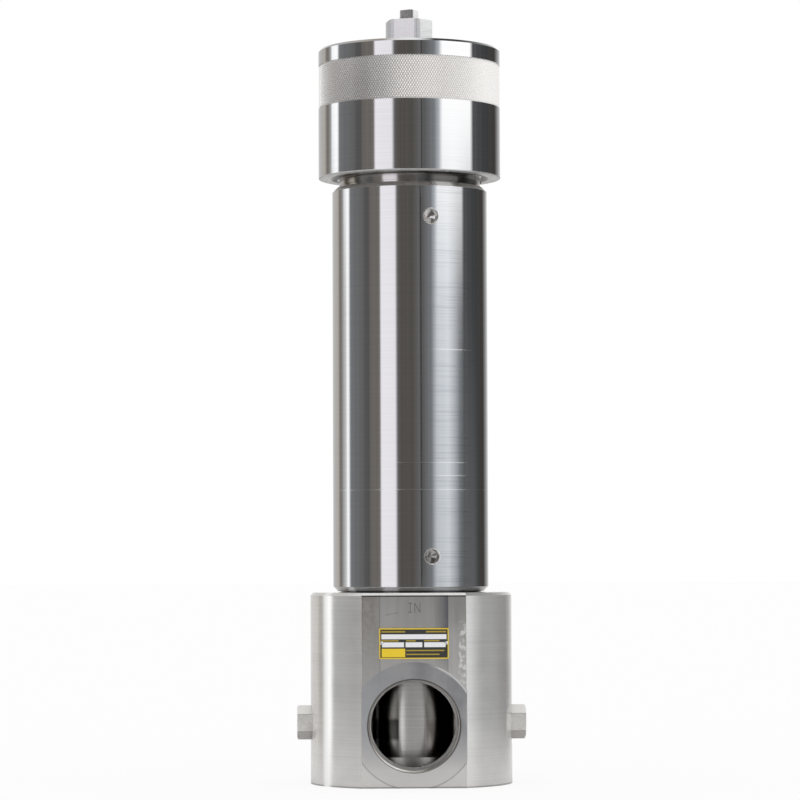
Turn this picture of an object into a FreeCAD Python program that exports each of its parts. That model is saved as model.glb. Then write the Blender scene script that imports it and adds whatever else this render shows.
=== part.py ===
import FreeCAD, Part
import math
import os

# A high-pressure hydraulic filter that stands on its base block. All sizes are in millimetres.
# The origin is on the upright axis at the underside of the block, +Z is up and -Y is the inlet side.

V = FreeCAD.Vector
ORIGIN = V(0, 0, 0)
UP = V(0, 0, 1)
FRONT = V(0, -1, 0)
BACK = V(0, 1, 0)
LEFT = V(-1, 0, 0)
RIGHT = V(1, 0, 0)

# Base block: a length of round bar with two milled flats
block_d = 139.7
block_h = 132.0
flat_y = 60.1
block_edge = 2.0
pocket_floor = 19.0
post_d = 57.2
post_drop = 2.0
passage_d = 40.0
web_over_passage = 18.0

# Inlet and outlet ports
port_z = 42.0
port_thread_d = 61.3
port_thread_len = 18.0
port_mouth = 0.8
port_bore_d = 58.0
spotface_d = 86.4
spotface_t = 0.25
inlet_gap = 0.4

# Tapped holes in the underside
foot_pcd = 112.0
foot_hole_d = 8.5
foot_hole_depth = 18.0
foot_hole_count = 4
foot_hole_mouth = 0.5

# Socket in the block that the tube screws into
socket_depth = 38.0
seal_len = 16.0
lead_in = 3.0
socket_mouth = 1.0

# Housing tube: its bore and the wall round it along the barrel, seal nose, foot thread and neck
tube_bore_d = 80.0
barrel_wall = 14.0
seal_wall = 6.5
foot_thread_wall = 9.0
neck_wall = 9.3
barrel_len = 277.4
foot_gap = 0.8
foot_chamfer = 3.2
top_chamfer_h = 3.2
top_chamfer_w = 3.2
relief_len = 1.5
relief_cut = 0.8
neck_len = 58.6
bore_chamfer = 1.5

# Blind holes for a pin spanner
spanner_hole_d = 10.0
spanner_hole_depth = 7.0
spanner_countersink = 0.65
spanner_from_foot = 23.9
spanner_from_top = 20.9
spanner_turn = 13.9

# Screw cap
cap_wall = 11.7
cap_h = 90.3
cap_gap = 6.6
cap_thread_room = 1.4
cap_mouth = 4.5
cap_top_edge = 1.7
cap_foot_edge = 0.4
cap_edge = 1.5
cap_stop_gap = 0.3
cap_relief_cut = 1.1
cap_relief_len = 4.0
knurl_from_foot = 48.8
knurl_len = 30.1
knurl_depth = 0.8
nose_len = 20.3
nose_wall = 12.0
nose_pocket_depth = 26.0
hex_af = 29.6
hex_h = 20.6
hex_edge = 0.9
hex_turn = 10.5

# Vent plug in the hexagon
vent_thread_d = 13.5
vent_thread_len = 11.0
vent_taper = 1.0 / 32.0
vent_hole_extra = 2.0
vent_drill_d = 6.0
vent_head_af = 9.5
vent_head_h = 7.6
vent_edge = 0.3

# Gauge port plugs on the left and right
gauge_spot_x = 68.3
gauge_spot_d = 28.0
gauge_tap_d = 14.6
gauge_tap_depth = 16.0
gauge_drill_d = 6.0
gauge_seat_d = 18.4
gauge_seat_depth = 2.4
gauge_plug_len = 14.0
gauge_head_af = 20.5
gauge_head_h = 10.9
gauge_head_edge = 1.5
gauge_neck_d = 12.6
gauge_ring_section = 2.1

# O-rings and backup rings
tube_ring_section = 4.4
cap_ring_section = 4.0
nozzle_ring_section = 2.6
backup_t = 2.0
groove_slack = 0.8
tube_groove_up = 3.5
cap_groove_up = 5.0

# Outlet nozzle that carries the filter element
nozzle_thread_d = 43.0
nozzle_thread_len = 12.0
nozzle_flange_d = 52.0
nozzle_flange_t = 5.0
nozzle_flange_af = 46.0
nozzle_spigot_d = 36.0
nozzle_spigot_len = 21.0
nozzle_bore_d = 28.0
nozzle_groove_up = 8.0
nozzle_edge = 1.2

# Filter element
element_room = 5.0
end_cap_t = 4.0
end_cap_rim = 7.0
end_cap_wall = 1.0
hub_wall = 2.0
hub_len = 22.0
core_wall = 1.4
core_hole_d = 8.0
core_holes_round = 6
core_hole_rows = 9
core_end_margin = 24.0
pleat_count = 36
pleat_fold = 3.4
pleat_air = 0.4
lug_count = 4
lug_h = 6.7
lug_w = 5.0
lug_sweep = 36.0

# Bypass valve in the upper end cap
bypass_d = 26.0
bypass_wall = 1.8
bypass_flange_d = 34.0
bypass_flange_t = 3.5
bypass_seat_d = 16.0
bypass_seat_t = 4.5
bypass_len = 21.0
bypass_lip = 1.5
bypass_lip_w = 1.2
bypass_window_h = 9.0
bypass_window_w = 9.0
retainer_t = 2.5
poppet_t = 4.0
poppet_d = 21.2
poppet_stem_d = 5.0
poppet_stem_len = 26.0
spring_d = 14.0
spring_wire = 1.2
spring_turns = 4

# Nameplate on the front flat
plate_w = 47.1
plate_h = 20.6
plate_t = 0.6
plate_z = 97.8
plate_corner = 0.6
rivet_x = 22.0
rivet_up = 0.4
rivet_d = 1.7
rivet_head_d = 2.6
rivet_head_h = 0.8
rivet_len = 5.0

# Clearances
thread_gap = 0.2
slide_gap = 0.3
seal_gap = 0.05
push_gap = 0.1
screw_gap = 0.05

# Widths, heights and radii that follow from the sizes above
tube_d = tube_bore_d + 2 * barrel_wall
seal_bore_d = tube_bore_d + 2 * seal_wall
socket_thread_d = tube_bore_d + 2 * foot_thread_wall
neck_d = tube_bore_d + 2 * neck_wall
relief_d = neck_d - 2 * relief_cut
cap_thread_d = neck_d + 2 * cap_thread_room
cap_relief_d = cap_thread_d + 2 * cap_relief_cut
cap_d = cap_relief_d + 2 * cap_wall
nose_pocket_d = tube_bore_d - 2 * nose_wall
element_d = tube_bore_d - 2 * element_room
block_r = block_d / 2
post_r = post_d / 2
pocket_r = tube_bore_d / 2
passage_r = passage_d / 2
seat_z = block_h - socket_depth
post_top = seat_z - post_drop
web_top = port_z + passage_r + web_over_passage
inlet_end = post_r + inlet_gap
port_face = flat_y - spotface_t
port_thread_end = port_face - port_thread_len
seal_top = seat_z + seal_len
shoulder_z = block_h + foot_gap
barrel_top = shoulder_z + barrel_len
neck_z = barrel_top + top_chamfer_h
tube_top = neck_z + neck_len
cap_z = neck_z + cap_gap
cap_top = cap_z + cap_h
ceiling_z = tube_top + cap_stop_gap
nose_z = ceiling_z - nose_len
nose_r = tube_bore_d / 2 - slide_gap
hex_top = cap_top + hex_h
tube_groove_z = seat_z + tube_groove_up
cap_groove_z = nose_z + cap_groove_up
flange_top = post_top + nozzle_flange_t
nozzle_groove_z = flange_top + nozzle_groove_up
hub_bore_r = nozzle_spigot_d / 2 + thread_gap
core_r = hub_bore_r + hub_wall
core_z = flange_top + hub_len
lug_top = nose_z - slide_gap
media_top = lug_top - lug_h - end_cap_t
end_cap_top = media_top + end_cap_t
bypass_bottom = end_cap_top - bypass_len
valve_seat_z = end_cap_top + bypass_flange_t - bypass_seat_t
retainer_z = bypass_bottom + bypass_lip
spring_z = retainer_z + retainer_t
poppet_z = valve_seat_z - seal_gap - poppet_t


def turned(profile, sweep=360):
    """Turn a closed outline of (radius, height) corners about the upright axis."""
    corners = [V(radius, 0, height) for radius, height in profile]
    face = Part.Face(Part.makePolygon(corners + corners[:1]))
    return face.revolve(ORIGIN, UP, sweep)


def aimed(shape, place, direction):
    """Turn a shape made about +Z so that its axis points along direction from place."""
    moved = shape.copy()
    moved.Placement = FreeCAD.Placement(place, FreeCAD.Rotation(UP, direction))
    return moved


def prism(across_flats, sides, height, turn, z):
    """Upright regular prism with one corner turned from the front towards the right."""
    radius = across_flats / 2 / math.cos(math.pi / sides)
    angles = [math.radians(turn - 90 + 360 * side / sides) for side in range(sides)]
    corners = [V(radius * math.cos(a), radius * math.sin(a), z) for a in angles]
    return Part.Face(Part.makePolygon(corners + corners[:1])).extrude(V(0, 0, height))


def slab(x_half, y0, y1, z0, z1):
    """Box centred on the YZ plane."""
    return Part.makeBox(2 * x_half, y1 - y0, z1 - z0, V(-x_half, y0, z0))


def groove_width(section, backup):
    """Length of a seal groove for an O-ring and, where there is one, its backup ring."""
    return section + backup + groove_slack


def port_tool(bore_r, end):
    """What is cut away for a threaded port, from its spotface in to the end of its bore."""
    outside = block_r
    return turned([
        (0, end),
        (bore_r, end),
        (bore_r, port_thread_end),
        (port_thread_d / 2, port_thread_end),
        (port_thread_d / 2, port_face - port_mouth),
        (port_thread_d / 2 + port_mouth, port_face),
        (spotface_d / 2, port_face),
        (spotface_d / 2, outside),
        (0, outside),
    ])


def gauge_tool():
    """What is cut away for one gauge port: spotface, ring seat, tapped hole and drilling."""
    tap_end = gauge_spot_x - gauge_tap_depth
    seat_floor = gauge_spot_x - gauge_seat_depth
    inside = (pocket_r + post_r) / 2
    return turned([
        (0, inside),
        (gauge_drill_d / 2, inside),
        (gauge_drill_d / 2, tap_end),
        (gauge_tap_d / 2, tap_end),
        (gauge_tap_d / 2, seat_floor),
        (gauge_seat_d / 2, seat_floor),
        (gauge_seat_d / 2, gauge_spot_x),
        (gauge_spot_d / 2, gauge_spot_x),
        (gauge_spot_d / 2, block_r + 1),
        (0, block_r + 1),
    ])


def foot_hole():
    """One tapped hole in the underside, with its countersunk mouth."""
    radius = foot_hole_d / 2
    return turned([
        (0, 0),
        (radius + foot_hole_mouth, 0),
        (radius, foot_hole_mouth),
        (radius, foot_hole_depth),
        (0, foot_hole_depth + radius / 2),
    ])


def bar_with_flats():
    """Round bar, flat at the front and back, with its top edge broken all round."""
    bar = turned([
        (0, 0),
        (block_r, 0),
        (block_r, block_h - block_edge),
        (block_r - block_edge, block_h),
        (0, block_h),
    ])
    side = [
        V(-block_r, -flat_y, 0),
        V(-block_r, flat_y, 0),
        V(-block_r, flat_y, block_h - block_edge),
        V(-block_r, flat_y - block_edge, block_h),
        V(-block_r, block_edge - flat_y, block_h),
        V(-block_r, -flat_y, block_h - block_edge),
    ]
    between_flats = Part.Face(Part.makePolygon(side + side[:1])).extrude(V(block_d, 0, 0))
    return bar.common(between_flats)


def base_block():
    """Base with the tube socket, the inlet pocket round its post, two ports and two gauge ports."""
    pocket = turned([
        (post_r, pocket_floor),
        (pocket_r, pocket_floor),
        (pocket_r, post_top),
        (post_r, post_top),
    ])
    web = slab(post_r, 0, block_r, pocket_floor, web_top)
    nozzle_room = turned([
        (0, post_top),
        (pocket_r, post_top),
        (pocket_r, seat_z),
        (0, seat_z),
    ])
    socket = turned([
        (0, seat_z),
        (seal_bore_d / 2, seat_z),
        (seal_bore_d / 2, seal_top - lead_in),
        (socket_thread_d / 2, seal_top),
        (socket_thread_d / 2, block_h - socket_mouth),
        (socket_thread_d / 2 + socket_mouth, block_h),
        (0, block_h),
    ])
    riser = turned([
        (0, port_z - passage_r),
        (passage_r, port_z - passage_r),
        (passage_r, post_top - nozzle_thread_len),
        (nozzle_thread_d / 2 + thread_gap, post_top - nozzle_thread_len),
        (nozzle_thread_d / 2 + thread_gap, post_top),
        (0, post_top),
    ])
    ports_at = V(0, 0, port_z)
    cuts = [
        pocket.cut(web),
        nozzle_room,
        socket,
        riser,
        aimed(port_tool(port_bore_d / 2, inlet_end), ports_at, FRONT),
        aimed(port_tool(passage_r, 0), ports_at, BACK),
        aimed(gauge_tool(), ports_at, LEFT),
        aimed(gauge_tool(), ports_at, RIGHT),
    ]
    for number in range(foot_hole_count):
        angle = math.radians(360 * (number + 0.5) / foot_hole_count)
        place = V(math.cos(angle), math.sin(angle), 0) * (foot_pcd / 2)
        cuts.append(foot_hole().translate(place))
    for place in rivet_places():
        depth = rivet_len + push_gap
        cuts.append(Part.makeCylinder(rivet_d / 2 + seal_gap, depth, place, BACK))
    block = bar_with_flats()
    for tool in cuts:
        block = block.cut(tool)
    return block


def spanner_hole():
    """Blind drilled hole with a countersunk mouth, measured out from the tube's axis."""
    surface = tube_d / 2
    radius = spanner_hole_d / 2
    floor = surface - spanner_hole_depth
    return turned([
        (0, floor - radius / 2),
        (radius, floor),
        (radius, surface - spanner_countersink),
        (radius + 2 * spanner_countersink, surface + spanner_countersink),
        (0, surface + spanner_countersink),
    ])


def housing_tube():
    """Thick tube: seal nose and thread at the foot, plain barrel, threaded neck at the top."""
    bore_r = tube_bore_d / 2
    nose_out = seal_bore_d / 2 - slide_gap
    thread_r = socket_thread_d / 2 - thread_gap
    groove_r = nose_out - tube_ring_section
    groove_top = tube_groove_z + groove_width(tube_ring_section, backup_t)
    thread_start = seal_top + thread_r - nose_out
    tube = turned([
        (bore_r, seat_z),
        (nose_out - lead_in / 3, seat_z),
        (nose_out, seat_z + lead_in / 3),
        (nose_out, tube_groove_z),
        (groove_r, tube_groove_z),
        (groove_r, groove_top),
        (nose_out, groove_top),
        (nose_out, seal_top),
        (thread_r, thread_start),
        (thread_r, shoulder_z),
        (tube_d / 2 - foot_chamfer, shoulder_z),
        (tube_d / 2, shoulder_z + foot_chamfer),
        (tube_d / 2, barrel_top),
        (tube_d / 2 - top_chamfer_w, neck_z),
        (relief_d / 2, neck_z),
        (relief_d / 2, neck_z + relief_len),
        (neck_d / 2, neck_z + relief_len),
        (neck_d / 2, tube_top - bore_chamfer),
        (neck_d / 2 - bore_chamfer, tube_top),
        (bore_r + bore_chamfer, tube_top),
        (bore_r, tube_top - 2 * bore_chamfer),
    ])
    for z in (shoulder_z + spanner_from_foot, barrel_top - spanner_from_top):
        for turn in (spanner_turn, spanner_turn + 180):
            angle = math.radians(turn)
            outward = V(math.sin(angle), -math.cos(angle), 0)
            tube = tube.cut(aimed(spanner_hole(), V(0, 0, z), outward))
    return tube


def vent_hole_r(z):
    """Radius of the tapered vent hole at height z."""
    return vent_thread_d / 2 - (hex_top - z) * vent_taper


def screw_cap():
    """Closing cap: threaded skirt, seal nose inside, knurled band outside and a hexagon on top."""
    rim_r = cap_d / 2
    thread_r = cap_thread_d / 2
    band_r = rim_r - knurl_depth
    band_z = cap_z + knurl_from_foot
    groove_r = nose_r - cap_ring_section
    groove_top = cap_groove_z + groove_width(cap_ring_section, backup_t)
    pocket_top = nose_z + nose_pocket_depth
    body = turned([
        (thread_r + cap_mouth, cap_z),
        (rim_r - cap_foot_edge, cap_z),
        (rim_r, cap_z + cap_foot_edge),
        (rim_r, band_z),
        (band_r, band_z),
        (band_r, band_z + knurl_len),
        (rim_r, band_z + knurl_len),
        (rim_r, cap_top - cap_top_edge),
        (rim_r - cap_top_edge, cap_top),
        (0, cap_top),
        (0, pocket_top),
        (nose_pocket_d / 2, pocket_top),
        (nose_pocket_d / 2, nose_z),
        (nose_r - cap_edge, nose_z),
        (nose_r, nose_z + cap_edge),
        (nose_r, cap_groove_z),
        (groove_r, cap_groove_z),
        (groove_r, groove_top),
        (nose_r, groove_top),
        (nose_r, ceiling_z),
        (cap_relief_d / 2, ceiling_z),
        (cap_relief_d / 2, ceiling_z - cap_relief_len),
        (thread_r, ceiling_z - cap_relief_len),
        (thread_r, cap_z + cap_mouth),
    ])
    corner_r = hex_af / 2 / math.cos(math.pi / 6)
    hex_limit = turned([
        (0, cap_top),
        (corner_r + hex_edge, cap_top),
        (corner_r + hex_edge, hex_top - hex_edge),
        (corner_r - hex_edge, hex_top),
        (0, hex_top),
    ])
    hexagon = prism(hex_af, 6, hex_h, hex_turn, cap_top).common(hex_limit)
    hole_z = hex_top - vent_thread_len - vent_hole_extra
    vent = turned([
        (0, pocket_top),
        (vent_drill_d / 2, pocket_top),
        (vent_drill_d / 2, hole_z),
        (vent_hole_r(hole_z), hole_z),
        (vent_hole_r(hex_top), hex_top),
        (0, hex_top),
    ])
    return body.fuse(hexagon).removeSplitter().cut(vent)


def vent_plug():
    """Taper-threaded pipe plug with a square head."""
    foot_z = hex_top - vent_thread_len
    shank = turned([
        (0, foot_z),
        (vent_hole_r(foot_z) - screw_gap, foot_z),
        (vent_hole_r(hex_top) - screw_gap, hex_top),
        (0, hex_top),
    ])
    head_top = hex_top + vent_head_h
    corner_r = vent_head_af / math.sqrt(2)
    limit = turned([
        (0, hex_top),
        (corner_r, hex_top),
        (corner_r, head_top - vent_edge),
        (corner_r - 2 * vent_edge, head_top),
        (0, head_top),
    ])
    head = prism(vent_head_af, 4, vent_head_h, hex_turn, hex_top).common(limit)
    return shank.fuse(head)


def bore_ring(bore_r, section, z):
    """O-ring in a groove, its outside just clear of the bore that it seals."""
    return Part.makeTorus(bore_r - seal_gap - section / 2, section / 2, V(0, 0, z), UP)


def ring_height(groove_z, section):
    """Height of an O-ring's centre in its groove, against the side away from any backup ring."""
    return groove_z + groove_slack / 4 + section / 2


def backup_ring(bore_r, land_r, section, groove_z):
    """Flat split-free ring that lies above the O-ring, on the side away from the pressure."""
    bottom = groove_z + groove_width(section, backup_t) - groove_slack / 4 - backup_t
    inner = land_r - section + seal_gap
    return turned([
        (inner, bottom),
        (bore_r - seal_gap, bottom),
        (bore_r - seal_gap, bottom + backup_t),
        (inner, bottom + backup_t),
    ])


def gauge_plug():
    """Hexagon-headed plug, made along +Z and measured out from the block's axis."""
    shank_end = gauge_spot_x - gauge_plug_len
    neck_start = gauge_spot_x - gauge_seat_depth
    thread_r = gauge_tap_d / 2 - screw_gap
    shank = turned([
        (0, shank_end),
        (thread_r - gauge_head_edge, shank_end),
        (thread_r, shank_end + gauge_head_edge),
        (thread_r, neck_start),
        (gauge_neck_d / 2, neck_start),
        (gauge_neck_d / 2, gauge_spot_x),
        (0, gauge_spot_x),
    ])
    head_end = gauge_spot_x + gauge_head_h
    corner_r = gauge_head_af / math.sqrt(3)
    limit = turned([
        (0, gauge_spot_x),
        (corner_r + gauge_head_edge, gauge_spot_x),
        (corner_r + gauge_head_edge, head_end - gauge_head_edge),
        (corner_r - gauge_head_edge, head_end),
        (0, head_end),
    ])
    head = prism(gauge_head_af, 6, gauge_head_h, 90, gauge_spot_x).common(limit)
    return shank.fuse(head)


def gauge_ring():
    """O-ring round the plug's neck, made along +Z and measured out from the block's axis."""
    section = gauge_ring_section
    centre = V(0, 0, gauge_spot_x - gauge_seat_depth / 2)
    return Part.makeTorus(gauge_neck_d / 2 + seal_gap + section / 2, section / 2, centre, UP)


def rivet_places():
    """Where the two drive rivets enter the front flat."""
    z = plate_z + rivet_up
    return [V(-rivet_x, -flat_y, z), V(rivet_x, -flat_y, z)]


def nameplate():
    """Thin plate with rounded corners and two rivet holes."""
    plate = slab(plate_w / 2, -flat_y - plate_t, -flat_y, plate_z - plate_h / 2, plate_z + plate_h / 2)
    corners = [edge for edge in plate.Edges if abs(edge.tangentAt(edge.FirstParameter).y) > 0.9]
    plate = plate.makeFillet(plate_corner, corners)
    for place in rivet_places():
        plate = plate.cut(Part.makeCylinder(rivet_d / 2 + seal_gap, plate_t, place, FRONT))
    return plate


def nameplate_rivets():
    """Two drive rivets with domed heads."""
    rise = rivet_head_h
    reach = rivet_head_d / 2
    dome_r = (reach ** 2 + rise ** 2) / (2 * rise)
    rivets = []
    for place in rivet_places():
        under_head = place + FRONT * plate_t
        shank = Part.makeCylinder(rivet_d / 2, rivet_len + plate_t, under_head, BACK)
        ball = Part.makeSphere(dome_r, under_head + BACK * (dome_r - rise))
        keep = Part.makeCylinder(dome_r, rise, under_head, FRONT)
        rivets.append(shank.fuse(ball.common(keep)))
    return Part.Compound(rivets)


def outlet_nozzle():
    """Spigot screwed into the post: the clean side of the element seals on it."""
    bore_r = nozzle_bore_d / 2
    spigot_r = nozzle_spigot_d / 2
    spigot_top = flange_top + nozzle_spigot_len
    groove_r = spigot_r - nozzle_ring_section
    groove_top = nozzle_groove_z + groove_width(nozzle_ring_section, 0)
    thread_foot = post_top - nozzle_thread_len
    body = turned([
        (bore_r, thread_foot),
        (nozzle_thread_d / 2, thread_foot),
        (nozzle_thread_d / 2, post_top),
        (nozzle_flange_d / 2, post_top),
        (nozzle_flange_d / 2, flange_top),
        (spigot_r, flange_top),
        (spigot_r, nozzle_groove_z),
        (groove_r, nozzle_groove_z),
        (groove_r, groove_top),
        (spigot_r, groove_top),
        (spigot_r, spigot_top - nozzle_edge),
        (spigot_r - nozzle_edge, spigot_top),
        (bore_r, spigot_top),
    ])
    flange_r = nozzle_flange_d / 2
    for side in (-1, 1):
        flat = nozzle_flange_af / 2
        y0 = min(side * flat, side * flange_r)
        body = body.cut(slab(flange_r, y0, y0 + flange_r - flat, post_top, flange_top))
    return body


def element_bottom_cap():
    """Lower end cap: a dish with a hub that slides over the nozzle."""
    outer = element_d / 2
    floor = flange_top + end_cap_t
    return turned([
        (hub_bore_r, flange_top),
        (outer, flange_top),
        (outer, floor + end_cap_rim),
        (outer - end_cap_wall, floor + end_cap_rim),
        (outer - end_cap_wall, floor),
        (core_r, floor),
        (core_r, core_z),
        (hub_bore_r, core_z),
    ])


def element_top_cap():
    """Upper end cap with the bypass hole and the lugs that the screw cap holds down."""
    outer = element_d / 2
    hole_r = bypass_d / 2 + seal_gap
    cap = turned([
        (hole_r, media_top),
        (outer - end_cap_wall, media_top),
        (outer - end_cap_wall, media_top - end_cap_rim),
        (outer, media_top - end_cap_rim),
        (outer, end_cap_top),
        (hole_r, end_cap_top),
    ])
    lug = turned([
        (outer - lug_w, end_cap_top),
        (outer, end_cap_top),
        (outer, lug_top),
        (outer - lug_w, lug_top),
    ], lug_sweep)
    for number in range(lug_count):
        turn = 360 * number / lug_count
        cap = cap.fuse(lug.copy().rotate(ORIGIN, UP, turn))
    return cap.removeSplitter()


def element_core():
    """Perforated tube that holds the pleats up against the pressure."""
    tube = turned([
        (core_r - core_wall, core_z),
        (core_r, core_z),
        (core_r, media_top),
        (core_r - core_wall, media_top),
    ])
    first = core_z + core_end_margin
    pitch = (media_top - core_end_margin - first) / (core_hole_rows - 1)
    step = 360 / core_holes_round
    for row in range(core_hole_rows):
        for column in range(core_holes_round):
            angle = math.radians(step * (column + 0.5 * (row % 2)))
            outward = V(math.cos(angle), math.sin(angle), 0)
            place = V(0, 0, first + pitch * row)
            tube = tube.cut(Part.makeCylinder(core_hole_d / 2, core_r + 1, place, outward))
    return tube


def star(tip_r, root_r, z, height):
    """Prism with the zigzag outline of the pleats."""
    points = []
    for number in range(2 * pleat_count):
        angle = math.pi * number / pleat_count
        radius = tip_r if number % 2 == 0 else root_r
        points.append(V(radius * math.cos(angle), radius * math.sin(angle), z))
    return Part.Face(Part.makePolygon(points + points[:1])).extrude(V(0, 0, height))


def pleated_media():
    """Filter sheet folded into a ring of pleats between the two end caps."""
    floor = flange_top + end_cap_t
    tip_r = element_d / 2 - end_cap_wall - pleat_air
    root_r = core_r + pleat_air + pleat_fold
    height = media_top - floor
    outside = star(tip_r, root_r, floor, height)
    return outside.cut(star(tip_r - pleat_fold, root_r - pleat_fold, floor, height))


def bypass_body():
    """Flanged sleeve with the valve seat under its top wall and windows in its side."""
    outer = bypass_d / 2
    inner = outer - bypass_wall
    top = end_cap_top + bypass_flange_t
    sleeve = turned([
        (inner - bypass_lip_w, bypass_bottom),
        (outer, bypass_bottom),
        (outer, end_cap_top),
        (bypass_flange_d / 2, end_cap_top),
        (bypass_flange_d / 2, top),
        (bypass_seat_d / 2, top),
        (bypass_seat_d / 2, valve_seat_z),
        (inner, valve_seat_z),
        (inner, retainer_z),
        (inner - bypass_lip_w, retainer_z),
    ])
    window_z = spring_z + bypass_lip
    for turn in (0, 90):
        window = slab(bypass_window_w / 2, -outer, outer, window_z, window_z + bypass_window_h)
        sleeve = sleeve.cut(window.rotate(ORIGIN, UP, turn))
    return sleeve


def bypass_retainer():
    """Disc on the sleeve's lip that carries the spring and guides the stem."""
    outer = bypass_d / 2 - bypass_wall - seal_gap
    guide = poppet_stem_d / 2 + slide_gap
    return turned([
        (guide, retainer_z),
        (outer, retainer_z),
        (outer, spring_z),
        (guide, spring_z),
    ])


def bypass_poppet():
    """Valve disc with its guide stem."""
    edge = spring_wire
    top = poppet_z + poppet_t
    foot = poppet_z - poppet_stem_len
    return turned([
        (0, foot),
        (poppet_stem_d / 2, foot),
        (poppet_stem_d / 2, poppet_z),
        (poppet_d / 2, poppet_z),
        (poppet_d / 2, top - edge),
        (poppet_d / 2 - edge, top),
        (0, top),
    ])


def bypass_spring():
    """Compression spring of square wire between the retainer and the poppet."""
    low = spring_z + spring_wire / 2
    rise = poppet_z - spring_z - spring_wire
    radius = spring_d / 2
    half = spring_wire / 2
    path = Part.makeHelix(rise / spring_turns, rise, radius).translate(V(0, 0, low))
    corners = [
        V(radius - half, 0, low - half),
        V(radius + half, 0, low - half),
        V(radius + half, 0, low + half),
        V(radius - half, 0, low + half),
    ]
    section = Part.makePolygon(corners + corners[:1])
    return Part.Wire(path.Edges).makePipeShell([section], True, True)


def seals():
    """Every O-ring and backup ring on the upright axis, by name."""
    bore_r = tube_bore_d / 2
    socket_r = seal_bore_d / 2
    tube_land_r = socket_r - slide_gap
    tube_ring_z = ring_height(tube_groove_z, tube_ring_section)
    cap_ring_z = ring_height(cap_groove_z, cap_ring_section)
    nozzle_ring_z = ring_height(nozzle_groove_z, nozzle_ring_section)
    return {
        "tube_o_ring": bore_ring(socket_r, tube_ring_section, tube_ring_z),
        "tube_backup_ring": backup_ring(socket_r, tube_land_r, tube_ring_section, tube_groove_z),
        "cap_o_ring": bore_ring(bore_r, cap_ring_section, cap_ring_z),
        "cap_backup_ring": backup_ring(bore_r, nose_r, cap_ring_section, cap_groove_z),
        "nozzle_o_ring": bore_ring(hub_bore_r, nozzle_ring_section, nozzle_ring_z),
    }


def pieces():
    """Every piece of the filter, by name."""
    ports_at = V(0, 0, port_z)
    return {
        "base_block": base_block(),
        "housing_tube": housing_tube(),
        "screw_cap": screw_cap(),
        "vent_plug": vent_plug(),
        "gauge_plug_left": aimed(gauge_plug(), ports_at, LEFT),
        "gauge_plug_right": aimed(gauge_plug(), ports_at, RIGHT),
        "gauge_o_ring_left": aimed(gauge_ring(), ports_at, LEFT),
        "gauge_o_ring_right": aimed(gauge_ring(), ports_at, RIGHT),
        "nameplate": nameplate(),
        "nameplate_rivets": nameplate_rivets(),
        "outlet_nozzle": outlet_nozzle(),
        "element_bottom_cap": element_bottom_cap(),
        "element_top_cap": element_top_cap(),
        "element_core": element_core(),
        "pleated_media": pleated_media(),
        "bypass_body": bypass_body(),
        "bypass_retainer": bypass_retainer(),
        "bypass_poppet": bypass_poppet(),
        "bypass_spring": bypass_spring(),
        **seals(),
    }


os.makedirs("parts", exist_ok=True)
for name, shape in pieces().items():
    shape.exportStep("parts/" + name + ".step")
    state = "valid" if shape.isValid() else "BAD"
    print(name, len(shape.Solids), "solid", round(shape.Volume), "mm3", state)
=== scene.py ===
# %% [markdown]
# A high-pressure hydraulic filter stands on a pale floor. It is a column of bright turned steel: a round base
# block with threaded ports, a thick tube, and a screw cap with a knurled band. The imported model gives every
# piece its place and size. This script gives them their finish, and adds the fine work that a solid model
# leaves out: the knurl, the screw threads, the spring's round wire, the printed nameplate and the stamped
# marks.

# %% Load the model
import bpy
import bmesh
import math
from mathutils import Matrix, Vector


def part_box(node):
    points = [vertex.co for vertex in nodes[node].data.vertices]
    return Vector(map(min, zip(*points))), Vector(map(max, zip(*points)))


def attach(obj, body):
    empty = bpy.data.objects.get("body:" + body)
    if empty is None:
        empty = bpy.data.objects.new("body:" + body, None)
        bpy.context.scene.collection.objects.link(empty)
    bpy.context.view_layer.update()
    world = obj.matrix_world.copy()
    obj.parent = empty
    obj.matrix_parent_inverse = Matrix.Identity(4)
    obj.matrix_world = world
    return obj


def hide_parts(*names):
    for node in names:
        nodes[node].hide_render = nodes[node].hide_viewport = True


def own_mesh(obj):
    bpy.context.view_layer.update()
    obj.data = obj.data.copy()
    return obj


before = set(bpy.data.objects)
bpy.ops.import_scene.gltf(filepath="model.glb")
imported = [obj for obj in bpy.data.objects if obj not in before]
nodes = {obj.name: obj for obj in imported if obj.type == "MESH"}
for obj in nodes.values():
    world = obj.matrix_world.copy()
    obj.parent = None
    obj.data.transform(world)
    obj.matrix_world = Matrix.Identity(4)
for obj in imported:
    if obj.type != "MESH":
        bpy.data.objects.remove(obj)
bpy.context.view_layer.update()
MM = 0.001
print("pieces in the model:", len(nodes))

# %% [markdown]
# The photograph was taken with a long lens, a little above the top of the base block and tipped up by two and
# a half degrees. A long lens keeps the column's sides almost parallel, so the camera stands well back.

# %% Camera
CAMERA_DISTANCE = 2409 * MM
CAMERA_HEIGHT = 160.3 * MM
CAMERA_AZIMUTH = math.radians(-1.8)
CAMERA_PITCH = math.radians(2.503)
CAMERA_ROLL = math.radians(-0.2)
CAMERA_YAW = math.radians(0.17)
LENS_MM = 155.7
SENSOR_MM = 36.0
SIGHT_LIMIT = 50.0

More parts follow.
